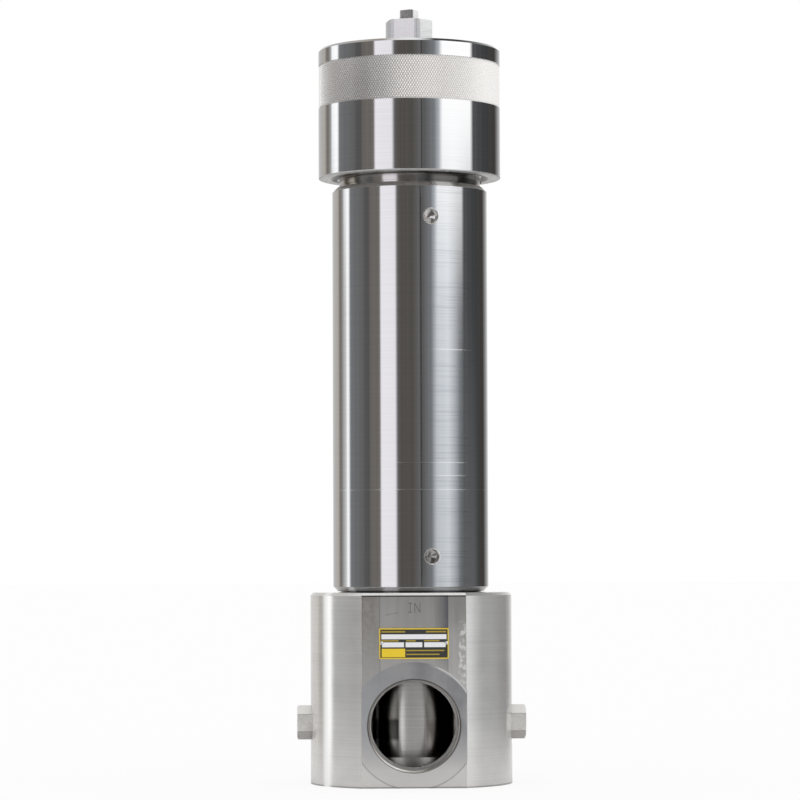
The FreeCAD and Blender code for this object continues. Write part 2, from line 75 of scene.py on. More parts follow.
camera_data = bpy.data.cameras.new("studio_camera")
camera_data.sensor_width = SENSOR_MM
camera_data.lens = LENS_MM
camera_data.clip_end = SIGHT_LIMIT
camera = bpy.data.objects.new("studio_camera", camera_data)
bpy.context.scene.collection.objects.link(camera)
camera.location = (
    CAMERA_DISTANCE * math.sin(CAMERA_AZIMUTH),
    -CAMERA_DISTANCE * math.cos(CAMERA_AZIMUTH),
    CAMERA_HEIGHT,
)
facing = Matrix.Rotation(CAMERA_AZIMUTH + CAMERA_YAW, 4, "Z")
tilt = Matrix.Rotation(math.radians(90) + CAMERA_PITCH, 4, "X")
roll = Matrix.Rotation(CAMERA_ROLL, 4, "Z")
camera.rotation_euler = (facing @ tilt @ roll).to_euler()
bpy.context.scene.camera = camera
bpy.context.scene.view_settings.view_transform = "Standard"
print("camera", round(CAMERA_DISTANCE, 3), "m away with a", LENS_MM, "mm lens")

# %% [markdown]
# Blender's materials are trees of small nodes. A few helpers keep each finish short to read. Link joins two
# nodes or writes a number. The others add a node beside the nodes they are given, and hand back its result.

# %% Node helpers
def link(value, socket):
    """Join an output to a socket, or write a plain value on it."""
    if isinstance(value, bpy.types.NodeSocket):
        socket.id_data.links.new(value, socket)
    else:
        socket.default_value = value


def add_node(kind, *values):
    """Node with its first inputs joined or set, in the tree that the values' outputs belong to."""
    outputs = [value for value in values if isinstance(value, bpy.types.NodeSocket)]
    node = outputs[0].id_data.nodes.new(kind)
    for value, socket in zip(values, node.inputs):
        link(value, socket)
    return node


def math_node(operation, *values):
    """One step of arithmetic."""
    node = add_node("ShaderNodeMath", *values)
    node.operation = operation
    return node.outputs[0]


def map_range(value, low, high, to_low=0.0, to_high=1.0):
    """Stretch low..high to to_low..to_high, held at its ends."""
    return add_node("ShaderNodeMapRange", value, low, high, to_low, to_high).outputs[0]


def noise(vector, detail):
    """Soft irregular pattern, about one feature to a unit."""
    node = add_node("ShaderNodeTexNoise", vector)
    node.inputs["Scale"].default_value = 1.0
    node.inputs["Detail"].default_value = detail
    return node.outputs[0]


print("node helpers ready")

# %% [markdown]
# Colours and shaders are blended in the same way: a number from nought to one says how much of the second
# comes in. A ramp runs through several colours in turn.

# %% Colour helpers
WHITE = (1.0, 1.0, 1.0)


def grey(level):
    """Colour without a tint."""
    return (level, level, level)


def ramp_node(value, stops):
    """Colour ramp from (position, colour) stops."""
    node = add_node("ShaderNodeValToRGB", value)
    elements = node.color_ramp.elements
    elements[0].position, elements[0].color = stops[0][0], (*stops[0][1], 1)
    elements[1].position, elements[1].color = stops[-1][0], (*stops[-1][1], 1)
    for position, colour in stops[1:-1]:
        elements.new(position).color = (*colour, 1)
    return node.outputs[0]


def mix_colour(factor, first, second):
    """Blend two colours."""
    node = add_node("ShaderNodeMix", factor)
    node.data_type = "RGBA"
    for colour, socket in ((first, node.inputs[6]), (second, node.inputs[7])):
        link(colour if isinstance(colour, bpy.types.NodeSocket) else (*colour, 1), socket)
    return node.outputs[2]


def mix_shader(factor, first, second):
    """Blend two shaders."""
    return add_node("ShaderNodeMixShader", factor, first, second).outputs[0]


print("colour helpers ready")

# %% [markdown]
# A mask is a number that is one where something lies and nought elsewhere. Masks are made from measures such
# as a height or a direction. They are joined to narrow them down, and paint lays colours over a tone where
# their masks are one.

# %% Masks and paint
def stripe(value, centre, half, soft):
    """One inside centre ± half, fading to nought over the soft edge."""
    away = math_node("ABSOLUTE", math_node("SUBTRACT", value, centre))
    return map_range(away, half + soft, half)


def both(*masks):
    """Where all the masks are one."""
    result = masks[0]
    for mask in masks[1:]:
        result = math_node("MULTIPLY", result, mask)
    return result


def either(*masks):
    """Where any of the masks is one."""
    result = masks[0]
    for mask in masks[1:]:
        result = math_node("MAXIMUM", result, mask)
    return result


def blend(number, *changes):
    """Change a number, in turn, to each new value where its mask is one."""
    for mask, new_value in changes:
        number = map_range(mask, 0, 1, number, new_value)
    return number


def add_up(number, *parts):
    """Add each mask to a number, times its amount."""
    for mask, amount in parts:
        number = math_node("MULTIPLY_ADD", mask, amount, number)
    return number


def paint(tone, *layers):
    """Lay colours over a tone in turn. A layer is a mask and a colour, and its strength where it is thin."""
    for mask, colour, *strength in layers:
        tone = mix_colour(both(mask, *strength), tone, colour)
    return tone


print("mask helpers ready")

# %% [markdown]
# The filter is round, so many masks need a direction round its upright axis, or a distance from it.

# %% Directions and distances
def bearing(x, y):
    """Compass direction round the upright axis in degrees: 0 at the front, 90 on the right."""
    front = math_node("MULTIPLY", y, -1.0)
    return math_node("MULTIPLY", math_node("ARCTAN2", x, front), 180 / math.pi)


def face_depth(x, y, turn):
    """Distance from the upright axis along one compass direction."""
    sideways = math_node("MULTIPLY", x, math.sin(math.radians(turn)))
    return math_node("MULTIPLY_ADD", y, -math.cos(math.radians(turn)), sideways)


def distance(first, second):
    """Straight distance, from two distances at right angles."""
    squares = [math_node("MULTIPLY", part, part) for part in (first, second)]
    return math_node("SQRT", math_node("ADD", *squares))


print("direction helpers ready")

# %% [markdown]
# Bright metal has no colour of its own to show: what we see is the studio around it. A mirror-like column
# turns every upright strip of the studio into an upright band, so the bands on the tube tell where the soft
# boxes and dark walls stood. Each station below is a compass direction with its brightness and tint.

# %% Stations of the studio
STUDIO = [
    (-180, 0.85, "neutral"),
    (-160, 0.62, "neutral"),
    (-137, 0.55, "warm"),
    (-130, 0.22, "warm"),
    (-125, 0.30, "warm"),
    (-120, 0.52, "neutral"),
    (-112.5, 0.85, "neutral"),
    (-109.5, 1.45, "neutral"),
    (-106, 1.40, "neutral"),
    (-102, 0.28, "cool"),
    (-80, 0.20, "neutral"),
    (-67, 0.13, "neutral"),
    (-61, 0.21, "warm"),
    (-47.5, 0.22, "warm"),
    (-45, 1.24, "lilac"),
    (-24, 1.20, "lilac"),
    (-20.5, 0.17, "neutral"),
    (-16, 0.13, "warm"),
    (2, 0.125, "warm"),
    (12, 0.20, "neutral"),
    (16, 0.155, "neutral"),
    (30, 0.31, "cool"),
    (39, 0.90, "cool"),
    (56, 1.10, "cool"),
    (66, 0.76, "cool"),
    (76, 0.36, "cool"),
    (85, 0.14, "cool"),
    (104, 0.085, "cool"),
    (136, 0.07, "warm"),
    (147, 0.34, "neutral"),
    (160, 0.66, "neutral"),
    (180, 1.20, "neutral"),
]
TINTS = {
    "neutral": (1.0, 1.0, 1.0),
    "warm": (1.08, 1.0, 0.92),
    "cool": (0.95, 1.0, 1.05),
    "lilac": (1.01, 0.98, 1.03),
}
print("studio with", len(STUDIO), "stations round the compass")

# %% [markdown]
# The world paints the stations as one ramp round the compass. A ramp holds no more than one, so they are
# divided by the greatest level, and the light is made that much stronger again. The dark walls get thin
# upright streaks, as cloth has.

# %% Walls round the compass
GREATEST = 1.60
STREAKS_ROUND = 75
STREAK_DEPTH = 0.13
DARK_WALL = (0.30, 0.12)

world = bpy.data.worlds.new("studio")
bpy.context.scene.world = world
world.use_nodes = True
world.cycles.sampling_method = "NONE"
tree = world.node_tree
tree.nodes.clear()
direction = tree.nodes.new("ShaderNodeTexCoord").outputs["Generated"]
sideways, backwards, upwards = add_node("ShaderNodeSeparateXYZ", direction).outputs
compass = bearing(sideways, backwards)
turn = math_node("MULTIPLY_ADD", compass, 1 / 360, 0.5)
stops = []
for degrees, level, tint in STUDIO:
    colour = tuple(level / GREATEST * part for part in TINTS[tint])
    stops.append((degrees / 360 + 0.5, colour))
walls = ramp_node(turn, stops)
around = add_node("ShaderNodeCombineXYZ", math_node("MULTIPLY", turn, STREAKS_ROUND), upwards)
brightness = add_node("ShaderNodeRGBToBW", walls)
in_dark = map_range(brightness.outputs[0], *DARK_WALL)
streaks = map_range(noise(around.outputs[0], 2.0), 0.40, 0.60)
walls = paint(walls, (both(streaks, in_dark), grey(0.0), STREAK_DEPTH))
print("ramp with", len(stops), "stops")

# %% [markdown]
# Masks lay a few panels over the walls. A dark seam runs from top to bottom. The others lie at some heights
# only: the upper part of the soft box on the right, a bright strip high on the left, and a faint glow low on
# the right. Overhead it is bright, and below the table it is dark.

# %% Panels of the studio
SEAM_AT = 13.6
SEAM_LEVEL = 0.05
SOFT_BOX_AT = 61
LEFT_STRIP_AT = -111
SIDE_GLOW_AT = 96
OVERHEAD = 1.25

high_part = map_range(upwards, 0.07, 0.125)
low_part = map_range(upwards, 0.07, -0.01)
seam = stripe(compass, SEAM_AT, 0.3, 0.6)
soft_box = stripe(compass, SOFT_BOX_AT, 20, 5)
left_strip = both(stripe(compass, LEFT_STRIP_AT, 5, 4), high_part)
side_glow = both(stripe(compass, SIDE_GLOW_AT, 10, 14), low_part)
room = paint(
    walls,
    (seam, grey(SEAM_LEVEL / GREATEST)),
    (both(soft_box, high_part), WHITE),
    (both(soft_box, low_part), grey(0.02), 0.15),
    (left_strip, (0.95, 0.96, 0.97), 0.9),
    (side_glow, (0.125, 0.13, 0.135), 0.7),
    (map_range(upwards, -0.08, -0.2), grey(0.05), 0.55),
    (map_range(upwards, 0.95, 0.99), grey(OVERHEAD / GREATEST)))
print("soft box at", SOFT_BOX_AT, "degrees")

# %% [markdown]
# Only mirror-like rays see the painted studio. Matt surfaces get a plain even light, and the camera sees
# white.

# %% Light of the studio
PLAIN_LIGHT = 1.0

path = tree.nodes.new("ShaderNodeLightPath")
mirror = add_node("ShaderNodeBackground", room, GREATEST)
plain = tree.nodes.new("ShaderNodeBackground")
plain.inputs["Color"].default_value = (1, 1, 1, 1)
plain.inputs["Strength"].default_value = PLAIN_LIGHT
choose = mix_shader(path.outputs["Is Glossy Ray"], plain.outputs[0], mirror.outputs[0])
add_node("ShaderNodeOutputWorld", choose)
print("plain light", PLAIN_LIGHT, "and mirror light up to", GREATEST)

# %% [markdown]
# The floor is a plain pale sheet. Towards the camera it glows nearly white, so that it melts into the white
# background and keeps only a soft shadow. Mirror-like rays see it a little greyer. They meet it only near the
# filter, as on a board on a table, and pass through it further out: the block's foot then shines with the
# board, while the column shows the same studio from all sides.

# %% Floor
FLOOR_SIZE = 30.0
FLOOR_GLOW = 0.85
FLOOR_PAINT = 0.90
BOARD_PAINT = 0.76
BOARD_RADIUS = 0.40
BOARD_FADE = 0.10

bm = bmesh.new()
bmesh.ops.create_grid(bm, x_segments=1, y_segments=1, size=FLOOR_SIZE / 2)
floor_mesh = bpy.data.meshes.new("floor")
bm.to_mesh(floor_mesh)
bm.free()
floor = bpy.data.objects.new("floor", floor_mesh)
bpy.context.scene.collection.objects.link(floor)
floor_material = bpy.data.materials.new("pale_floor")
floor_material.use_nodes = True
floor_mesh.materials.append(floor_material)
tree = floor_material.node_tree
tree.nodes.clear()
matt = tree.nodes.new("ShaderNodeBsdfDiffuse")
glow = tree.nodes.new("ShaderNodeEmission")
clear = tree.nodes.new("ShaderNodeBsdfTransparent")
path = tree.nodes.new("ShaderNodeLightPath")
mirrored = path.outputs["Is Glossy Ray"]
link(mix_colour(mirrored, grey(FLOOR_PAINT), grey(BOARD_PAINT)), matt.inputs["Color"])
glowing = math_node("MULTIPLY", path.outputs["Is Camera Ray"], FLOOR_GLOW)
lit = mix_shader(glowing, matt.outputs[0], glow.outputs[0])
spot = add_node("ShaderNodeVectorMath", tree.nodes.new("ShaderNodeTexCoord").outputs["Object"])
spot.operation = "LENGTH"
beyond = map_range(spot.outputs["Value"], BOARD_RADIUS, BOARD_RADIUS + BOARD_FADE)
open_floor = mix_shader(both(mirrored, beyond), lit, clear.outputs[0])
add_node("ShaderNodeOutputMaterial", open_floor)
print("floor", FLOOR_SIZE, "m across")

# %% [markdown]
# Every finish below starts the same way: a Principled shader with its plain numbers, and the place on the
# object in millimetres. A turned or milled surface carries the marks of its tool, so most patterns are noise
# that is stretched along the tool's path.

# %% Finish helpers
UPRIGHT = 0.25


def new_finish(name, colour, metallic, roughness, anisotropic=0.0):
    """Material with its plain numbers set on the shader's own sockets."""
    material = bpy.data.materials.new(name)
    material.use_nodes = True
    shader = material.node_tree.nodes["Principled BSDF"]
    shader.inputs["Base Color"].default_value = (*colour, 1)
    shader.inputs["Metallic"].default_value = metallic
    shader.inputs["Roughness"].default_value = roughness
    shader.inputs["Anisotropic"].default_value = anisotropic
    shader.inputs["Anisotropic Rotation"].default_value = UPRIGHT
    return material, shader


def place(shader):
    """The point on the object in millimetres, whole and as x, y and z."""
    coordinates = shader.id_data.nodes.new("ShaderNodeTexCoord")
    scale = add_node("ShaderNodeVectorMath", coordinates.outputs["Object"])
    scale.operation = "SCALE"
    scale.inputs["Scale"].default_value = 1 / MM
    point = scale.outputs[0]
    return point, *add_node("ShaderNodeSeparateXYZ", point).outputs


def tool_marks(point, stretch, detail=3.0):
    """Noise stretched by how many features fit in a millimetre along x, y and z."""
    mapping = add_node("ShaderNodeMapping", point)
    mapping.inputs["Scale"].default_value = stretch
    return noise(mapping.outputs[0], detail)


def dress(shader, tone, rough=None, metal=None):
    """Join a finish's colour, and its roughness and metal where they vary, to its shader."""
    for value, socket in ((tone, "Base Color"), (rough, "Roughness"), (metal, "Metallic")):
        if value is not None:
            link(value, shader.inputs[socket])


def bump(height, depth, shader):
    """Dent the surface by the pattern, depth in millimetres."""
    node = shader.id_data.nodes.new("ShaderNodeBump")
    node.inputs["Distance"].default_value = depth * MM
    link(height, node.inputs["Height"])
    link(node.outputs["Normal"], shader.inputs["Normal"])


def wear(material, *node_names):
    """Give pieces of the model their finish."""
    for node_name in node_names:
        mesh = nodes[node_name].data
        mesh.materials.clear()
        mesh.materials.append(material)
    print(material.name, "on", ", ".join(node_names))


print("finish helpers ready")

# %% [markdown]
# Some masks and pieces start from the model's own sizes, which are read here in millimetres.

# %% Sizes from the model
def low(node_name):
    """Lowest corner of a piece in millimetres."""
    return Vector(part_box(node_name)[0]) / MM


def high(node_name):
    """Highest corner of a piece in millimetres."""
    return Vector(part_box(node_name)[1]) / MM


tube_top = high("housing_tube").z
cap_radius = high("screw_cap").x
block_top = high("base_block").z
block_radius = high("base_block").x
print("block top", round(block_top, 1), "tube top", round(tube_top, 1), "cap radius", round(cap_radius, 2))

# %% [markdown]
# The tube is turned and polished, so it is almost a mirror. What tells it from glass is the faint drift of
# the turning lines round it, and a few light rings where a tool or a clamp has rubbed. Each ring is a height
# and the two directions between which it runs.

# %% Lines and rings on the tube
FINE_LINES = (0.012, 0.012, 1.3)
BROAD_LINES = (0.02, 0.02, 0.11)
RUBBED_RINGS = [
    (298.1, 17, 46),
    (220.7, -9, 41),
    (211.9, 18, 41),
    (202.3, -68, 71),
]

turned_steel, shader = new_finish("turned_steel_bright", (0.62, 0.62, 0.63), 1.0, 0.10, 0.6)
point, x, y, z = place(shader)
fine = tool_marks(point, FINE_LINES, 4.0)
broad = tool_marks(point, BROAD_LINES, 2.0)
round_axis = bearing(x, y)
rings = []
for ring_height, left, right in RUBBED_RINGS:
    across = stripe(z, ring_height, 0.15, 0.35)
    along = stripe(round_axis, (left + right) / 2, (right - left) / 2, 6)
    rings.append(both(across, along))
rubbed = either(*rings)
print("rubbed rings:", len(rings))

# %% [markdown]
# The tube ends in a chamfer and a narrower neck, which shows as a dark gap under the cap; the neck is painted
# darker there as shade. The gap has painted shade in one place and a residue stain in another, and one place
# on the chamfer has a painted highlight. Each of these is a direction with half its width, in degrees. The
# spanner holes have painted highlights on their rims.

# %% Chamfer, neck and holes of the tube
BARREL_TOP = 410.2
NECK_START = 413.4
CAP_FOOT = 420.0
LIT_PLACE = (25, 5)
GAP_SHADE_AT = (31, 18)
RESIDUE = (-57, 9)
HOLE_HEIGHTS = (156.7, 389.3)
HOLE_AT = 13.9
HOLE_RADIUS = 5.0

# On the neck, the tube's tone is later painted darker as shade in the gap.
on_neck = map_range(z, NECK_START - 0.1, NECK_START + 0.1)
on_chamfer = stripe(z, (BARREL_TOP + NECK_START) / 2, (NECK_START - BARREL_TOP) / 2, 0.15)
# Painted highlight on one place of the chamfer.
lit_chamfer = both(on_chamfer, stripe(round_axis, *LIT_PLACE, 5))
in_gap = both(on_neck, map_range(z, CAP_FOOT + 1.0, CAP_FOOT))
# Painted shade in the gap under the cap.
painted_gap_shade = both(in_gap, stripe(round_axis, *GAP_SHADE_AT, 8))
residue = both(in_gap, stripe(round_axis, *RESIDUE, 5))
beside_hole = face_depth(x, y, HOLE_AT + 90)
rims = []
insides = []
for hole_height in HOLE_HEIGHTS:
    from_hole = distance(beside_hole, math_node("SUBTRACT", z, hole_height))
    rims.append(stripe(from_hole, HOLE_RADIUS + 0.35, 0.35, 0.1))
    insides.append(map_range(from_hole, HOLE_RADIUS + 0.05, HOLE_RADIUS - 0.05))
# Painted highlights on the holes' rims.
hole_rim_highlight = either(*rims)
hole_inside = either(*insides)
print("holes at heights", HOLE_HEIGHTS)

# %% [markdown]
# The layers of the tube's colour go on in turn. On its right side the lines are coarser, the insides of the
# holes are painted with light and shade, the lower ones darker than the upper ones, and a thin painted shadow
# runs round where the tube meets the block. A rubbed line is rougher, and rough metal in a dark band gathers
# light from the bright ones beside it.

# %% Tone and roughness of the tube
COARSE_SIDE = (30, 10)

coarse = both(
    stripe(round_axis, *COARSE_SIDE, 12), map_range(fine, 0.46, 0.60, 0.0, 0.5),
    map_range(broad, 0.40, 0.58, 0.3, 1.0))
# Painted shadow where the tube meets the block.
contact_shadow = map_range(z, block_top + 1.7, block_top + 0.9)
# Painted light and shade inside the holes, darker low down.
hole_light_and_shade = mix_colour(map_range(z, 200, 350), (0.42, 0.41, 0.40), (0.84, 0.83, 0.82))
lines = mix_colour(map_range(fine, 0.35, 0.65), (0.62, 0.62, 0.625), (0.645, 0.645, 0.65))
tone = paint(
    lines,
    (coarse, (0.42, 0.43, 0.45)),
    (rubbed, (0.85, 0.85, 0.86), 0.35),
    (on_chamfer, (0.70, 0.67, 0.64)),
    (on_neck, (0.46, 0.43, 0.42), 0.5),
    (painted_gap_shade, (0.07, 0.065, 0.06), 0.90),
    (residue, (0.15, 0.13, 0.10), 0.85),
    (lit_chamfer, (1.0, 0.99, 0.97)),
    (contact_shadow, grey(0.04), 0.9),
    (hole_inside, hole_light_and_shade),
    (hole_rim_highlight, (0.95, 0.94, 0.92), 0.8))
rough = add_up(
    map_range(fine, 0.3, 0.75, 0.05, 0.10),
    (rubbed, 0.16), (on_chamfer, 0.15), (on_neck, 0.08), (hole_rim_highlight, 0.30))
metal = blend(1.0, (on_chamfer, 0.80), (lit_chamfer, 0.25))
dress(shader, tone, rough, metal)
wear(turned_steel, "housing_tube")

# %% [markdown]
# The cap's side is turned like the tube. Its hexagon is milled: the face on the right carries a painted
# highlight over its cutter lines, the one on the left is painted darker as shade, and the front face has a
# dark line near each edge. The underside and the foot's rim are faced. Heights, and directions round the
# axis, tell all of these apart.

# %% Places on the cap
HEXAGON_FOOT = 510.3
HEXAGON_HALF = 14.8
FRONT_FACE = -10.5
EDGE_LINE_FROM = 7.5
CAP_MOUTH_TOP = 424.6

cap_steel, shader = new_finish("turned_steel_cap", (0.62, 0.62, 0.63), 1.0, 0.10, 0.6)
point, x, y, z = place(shader)
milled = map_range(z, HEXAGON_FOOT + 0.1, HEXAGON_FOOT + 0.4)
# Painted highlight on the right face, painted shade on the left face.
front_face, painted_lit_face, painted_shaded_face = [
    map_range(face_depth(x, y, turn), HEXAGON_HALF - 0.8, HEXAGON_HALF - 0.5)
    for turn in (FRONT_FACE, FRONT_FACE + 60, FRONT_FACE - 60)]
along_front = face_depth(x, y, FRONT_FACE + 90)
wide_edge_line = map_range(along_front, EDGE_LINE_FROM - 0.2, EDGE_LINE_FROM + 0.1)
thin_edge_line = map_range(along_front, -EDGE_LINE_FROM - 0.3, -EDGE_LINE_FROM - 0.6, 0.0, 0.5)
front_edge_line = both(milled, front_face, either(wide_edge_line, thin_edge_line))
from_axis = distance(x, y)
faced = both(map_range(z, CAP_MOUTH_TOP + 0.1, CAP_MOUTH_TOP - 0.1),
             map_range(from_axis, cap_radius - 0.2, cap_radius - 0.5))
foot_rim = both(map_range(z, CAP_FOOT + 0.9, CAP_FOOT + 0.5),
                map_range(from_axis, cap_radius - 1.0, cap_radius - 0.6))
print("hexagon turned by", FRONT_FACE, "degrees")

# %% [markdown]
# The side gets the fine lines of the lathe, the hexagon the lines of its cutter, and the foot a mottled tone.

# %% Tone and roughness of the cap
CUTTER_LINES = (0.10, 0.10, 1.6)

fine = tool_marks(point, FINE_LINES, 4.0)
cutter = tool_marks(point, CUTTER_LINES, 3.0)
mottle = tool_marks(point, (0.35, 0.35, 0.35), 4.0)
side_tone = mix_colour(map_range(fine, 0.35, 0.65), (0.61, 0.61, 0.615), (0.645, 0.645, 0.65))
plain_face = mix_colour(map_range(cutter, 0.40, 0.60), (0.62, 0.61, 0.63), (0.68, 0.67, 0.69))
# Painted highlight on the right face, over its cutter lines.
lit_face_lines = mix_colour(map_range(cutter, 0.42, 0.49), (0.84, 0.86, 0.86), WHITE)
foot_tone = mix_colour(map_range(mottle, 0.40, 0.60), (0.46, 0.45, 0.44), (0.72, 0.71, 0.70))
face_tone = paint(
    plain_face,
    (painted_lit_face, lit_face_lines),
    (painted_shaded_face, (0.47, 0.48, 0.49)),
    (front_edge_line, grey(0.06)))
tone = paint(side_tone, (milled, face_tone), (faced, foot_tone))
side_rough = map_range(fine, 0.3, 0.75, 0.04, 0.09)
face_rough = map_range(cutter, 0.3, 0.7, 0.16, 0.28)
rough = add_up(blend(side_rough, (milled, face_rough)), (faced, 0.3), (foot_rim, 0.25))
metal = blend(
    1.0, (either(milled, foot_rim), 0.6), (front_edge_line, 0.0), (faced, 0.45),
    (both(milled, painted_lit_face), 0.1))
dress(shader, tone, rough, metal)
wear(cap_steel, "screw_cap")

# %% [markdown]
# The block is milled and turned from bar and left satin, so it shows the studio only as soft gradients. Many
# small places have a tone of their own, and distances from its axis, its flats and its ports find them.

# %% Places on the block
FLAT_DEPTH = 60.1
PORT_HEIGHT = 42.0
SPOTFACE_RADIUS = 43.2
POCKET_RADIUS = 41.0
POST_RADIUS = 30.0

block_steel, shader = new_finish("satin_steel_block", (0.66, 0.65, 0.64), 0.85, 0.34, 0.75)
point, x, y, z = place(shader)
from_middle = math_node("ABSOLUTE", y)
from_axis = distance(x, y)
from_port = distance(x, math_node("SUBTRACT", z, PORT_HEIGHT))
at_front = map_range(y, 0.0, -1.0)
below_port = map_range(z, 45.0, 35.0)
on_flat = both(map_range(from_middle, FLAT_DEPTH - 0.6, FLAT_DEPTH - 0.45),
               map_range(from_axis, block_radius - 0.1, block_radius - 0.2))
on_front = both(on_flat, at_front)
on_spotface = both(on_flat, map_range(from_port, SPOTFACE_RADIUS + 0.2, SPOTFACE_RADIUS - 0.2))
pocket_wall = both(map_range(from_axis, POCKET_RADIUS, POCKET_RADIUS - 0.5),
                   map_range(from_axis, POST_RADIUS + 1.0, POST_RADIUS + 3.0))
post = map_range(from_axis, POST_RADIUS, POST_RADIUS - 1.0)
print("flat", FLAT_DEPTH, "mm deep, port", PORT_HEIGHT, "mm high")

# %% [markdown]
# The lathe leaves its lines round the sides, and the cutter its lines up and down the flats. Clouds and a
# finer mottle vary the tone, as handling and cleaning do.

# %% Marks on the block
side_marks = tool_marks(point, (0.006, 0.006, 1.6), 3.0)
flat_marks = tool_marks(point, (0.35, 0.35, 0.02), 3.0)
clouds = tool_marks(point, (0.05, 0.05, 0.05), 3.0)
mottle = tool_marks(point, (0.30, 0.30, 0.30), 5.0)
marks = blend(side_marks, (on_flat, flat_marks))
side_tone = mix_colour(map_range(marks, 0.35, 0.65), (0.77, 0.76, 0.74), (0.83, 0.82, 0.80))
# Painted shade: the flat grows darker towards its top.
flat_tone = mix_colour(map_range(z, 80.0, 125.0), (0.74, 0.73, 0.72), (0.62, 0.61, 0.60))
flat_tone = paint(flat_tone, (map_range(marks, 0.3, 0.7), WHITE, 0.12))
tone = paint(side_tone, (on_flat, flat_tone))
print("block marks ready")

# %% [markdown]
# The cutter passed three times over the flat, with a thin line between the passes. The first pass is stained
# towards its top, the middle one is pale on its left and blued on its right, and the last one is brighter
# halfway up. Its scuffs are given by their middle and half their width, across and up. A scratch crosses the
# flat near its top.

# %% Three passes of the cutter
PASS_EDGE = 23.1
BLUED = (13.5, 23.0)
SCUFFED = ((33.2, 2.0), (90.0, 17.0))
SCRATCH_FROM = (-19.0, 117.2)
SCRATCH_TO = (-10.5, 118.6)

first_pass = both(on_flat, map_range(x, -PASS_EDGE + 0.2, -PASS_EDGE - 0.2))
middle_pass = both(on_flat, stripe(x, 0, PASS_EDGE, 0.3))
last_pass = both(on_front, map_range(x, PASS_EDGE - 0.2, PASS_EDGE + 0.2), stripe(z, 84, 18, 12))
pass_line = both(on_flat, stripe(math_node("ABSOLUTE", x), PASS_EDGE, 0.12, 0.3))
stained_tone = mix_colour(map_range(mottle, 0.42, 0.60), (0.55, 0.52, 0.50), (0.64, 0.62, 0.60))
pale_side = both(middle_pass, map_range(x, 2.0, -14.0))
blued = both(middle_pass, map_range(z, 72.0, 110.0), map_range(x, *BLUED))
scuffs = both(
    on_front, stripe(x, *SCUFFED[0], 1.5), stripe(z, *SCUFFED[1], 8.0),
    map_range(mottle, 0.48, 0.56))
run, rise = SCRATCH_TO[0] - SCRATCH_FROM[0], SCRATCH_TO[1] - SCRATCH_FROM[1]
scratch_z = math_node("MULTIPLY_ADD", x, rise / run, SCRATCH_FROM[1] - SCRATCH_FROM[0] * rise / run)
from_scratch = math_node("ABSOLUTE", math_node("SUBTRACT", z, scratch_z))
scratch = both(
    on_front, map_range(from_scratch, 0.3, 0.05),
    stripe(x, (SCRATCH_FROM[0] + SCRATCH_TO[0]) / 2, run / 2, 0.5))
tone = paint(
    tone,
    (both(first_pass, map_range(z, 60.0, 125.0)), stained_tone),
    (pale_side, (0.85, 0.84, 0.83), 0.4),
    (blued, (0.20, 0.21, 0.25), 0.9),
    (last_pass, (0.95, 0.94, 0.93), 0.45),
    (scuffs, WHITE),
    (pass_line, (0.25, 0.25, 0.26), 0.5),
    (scratch, grey(0.15), 0.5))
print("passes meet at", PASS_EDGE, "mm from the middle")

# %% [markdown]
# The spotface round the port was cut last and is darker and bluer than the flat. A painted highlight lies on
# an arc of its edge at the upper right, and its step shows as a thin dark line lower down. Towards the floor
# the flat is painted paler, as the floor's light on it, and the foot's edge is painted dark as shade.

# %% Spotface and foot of the block
spot_tone = mix_colour(map_range(clouds, 0.40, 0.62), (0.41, 0.42, 0.45), (0.60, 0.61, 0.63))
spot_tone = paint(spot_tone, (map_range(x, 5.0, -32.0), (0.70, 0.72, 0.76), 0.7))
# Painted highlight on an arc of the spotface's edge.
arc_highlight = both(
    on_front, stripe(from_port, SPOTFACE_RADIUS - 0.8, 0.35, 0.7),
    map_range(x, 10.0, 18.0), map_range(z, 58.0, 64.0))
# Painted light from the floor, low on the flat.
floor_light_on_flat = both(on_flat, map_range(z, 40.0, 12.0))
step_line = both(on_flat, stripe(from_port, SPOTFACE_RADIUS, 0.15, 0.45), below_port)
ring_shade = both(on_spotface, below_port, map_range(z, 0.0, 22.0))
# Painted shade along the foot's edge.
foot_shade = map_range(z, 1.4, 0.8)
tone = paint(
    tone,
    (on_spotface, spot_tone, 0.85),
    (arc_highlight, WHITE, 0.8),
    (map_range(clouds, 0.45, 0.7), grey(0.56), 0.25),
    (floor_light_on_flat, (1.0, 0.98, 0.96)),
    (step_line, (0.35, 0.34, 0.34), 0.55),
    (ring_shade, (0.55, 0.56, 0.58), 0.35),
    (foot_shade, (0.25, 0.24, 0.23), 0.6))
print("spotface", 2 * SPOTFACE_RADIUS, "mm across")

# %% [markdown]
# A port's mouth is a narrow ring with a dark line round it. The ring is darker outside than inside, it is
# painted darker towards its bottom, and its lower left part has a painted highlight. Just within the mouth
# the bore has painted shade.

# %% Mouth and bore of the ports
MOUTH_RADIUS = 31.45
BORE_RADIUS = 30.9

near_flat = map_range(from_middle, FLAT_DEPTH - 2.3, FLAT_DEPTH - 2.1)
mouth = both(near_flat, stripe(from_port, MOUTH_RADIUS - 0.6, 0.6, 0.15))
mouth_line = both(near_flat, stripe(from_port, MOUTH_RADIUS + 0.3, 0.15, 0.25))
ring_outside = map_range(from_port, BORE_RADIUS - 0.05, BORE_RADIUS + 0.2)
# Painted highlight on the ring's lower left.
ring_lit = both(map_range(x, 8.0, -12.0), map_range(z, 32.0, 18.0), at_front)
ring_tone = paint(
    mix_colour(ring_outside, (0.66, 0.64, 0.61), (0.17, 0.16, 0.15)),
    (map_range(z, 26.0, 14.0), (0.34, 0.32, 0.30)),
    (ring_lit, (1.0, 0.97, 0.93), 0.85))
